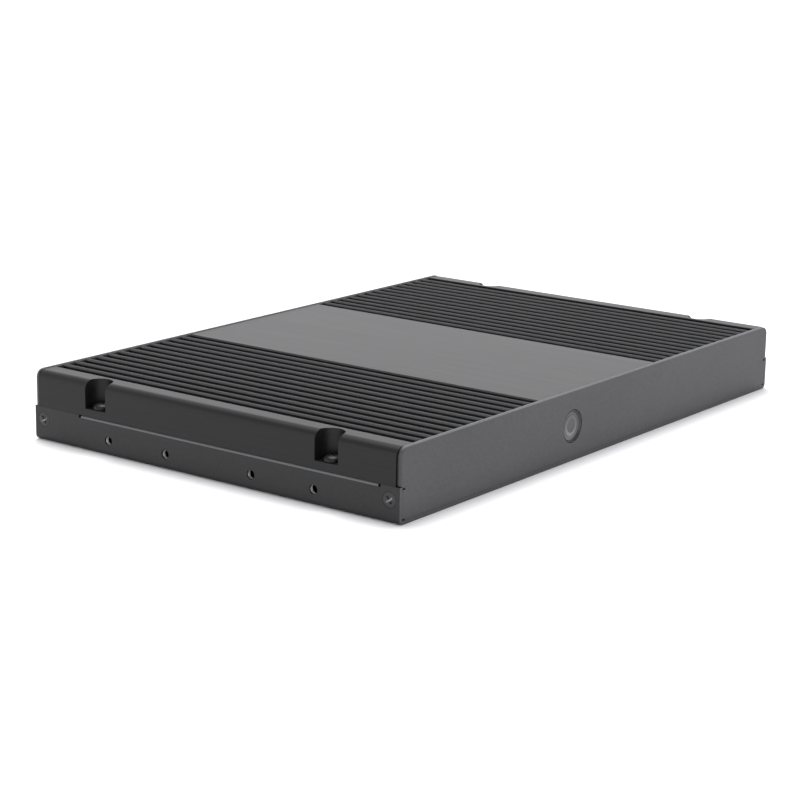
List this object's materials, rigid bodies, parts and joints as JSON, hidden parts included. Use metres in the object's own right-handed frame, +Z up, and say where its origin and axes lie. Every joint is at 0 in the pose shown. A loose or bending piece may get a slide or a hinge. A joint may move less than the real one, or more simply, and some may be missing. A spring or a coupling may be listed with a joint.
{
  "type": "slim fanless computer case",
  "caption": "Slim fanless computer in a folded metal tray with a finned aluminium lid, end panels and a front power button.",
  "frame": {"origin": "middle of the footprint, on the surface that the case stands on", "axes": "+Z up; +X to the right as seen from the front panel; -Y is the front, where the power button is"},
  "size_m": [0.2146, 0.1436, 0.0223],
  "materials": {
    "lid": "black anodised extrusion, satin, finely drawn along the fins",
    "sheet": "fine matt black coating on folded sheet metal",
    "screw": "black-plated steel, worn bright in the cross recess",
    "brass": "turned brass, bright",
    "button": "turned and black anodised, with a lighter dished ring",
    "plastic": "moulded black plastic",
    "socket": "formed plated shell",
    "board": "circuit board with green solder mask",
    "chip": "moulded chip package",
    "pad": "soft heat-conducting pad",
    "copper": "milled copper",
    "cell": "bright nickel-plated can"
  },
  "bodies": {
    "case": {"audio_jack": "plastic", "block_screw_front": "screw", "block_screw_rear": "screw", "board_screw_front_left": "screw", "board_screw_front_right": "screw", "board_screw_rear_left": "screw", "board_screw_rear_right": "screw", "button_guide": "plastic", "chipset": "chip", "coin_cell": "cell", "coin_holder": "plastic", "corner_screw_front_left": "screw", "corner_screw_front_right": "screw", "corner_screw_rear_left": "screw", "corner_screw_rear_right": "screw", "dc_jack": "plastic", "front_panel": "sheet", "heat_block": "copper", "heatsink_lid": "lid", "lan_jack": "socket", "lid_screw_front_left": "screw", "lid_screw_front_right": "screw", "lid_screw_rear_left": "screw", "lid_screw_rear_right": "screw", "mainboard": "board", "memory_module": "board", "memory_socket": "plastic", "power_coil_left": "chip", "power_coil_middle": "chip", "power_coil_right": "chip", "processor": "board", "radio_card": "board", "radio_post": "brass", "radio_screw": "screw", "radio_socket": "plastic", "rear_panel": "sheet", "ssd_card": "board", "ssd_post": "brass", "ssd_screw": "screw", "ssd_socket": "plastic", "standoff_front_left": "brass", "standoff_front_right": "brass", "standoff_rear_left": "brass", "standoff_rear_right": "brass", "switch_body": "socket", "thermal_pad": "pad", "tray": "sheet", "usb_socket_left": "socket", "usb_socket_right": "socket", "video_socket_left": "socket", "video_socket_right": "socket"},
    "power_button": {"power_button": "button", "switch_plunger": "plastic"}
  },
  "joints": [
    {"name": "power_button_press", "type": "slide", "parent": "case", "child": "power_button", "axis": [0, 1, 0], "range_m": [0, 0.0005], "stiffness_N_per_m": 500}
  ]
}
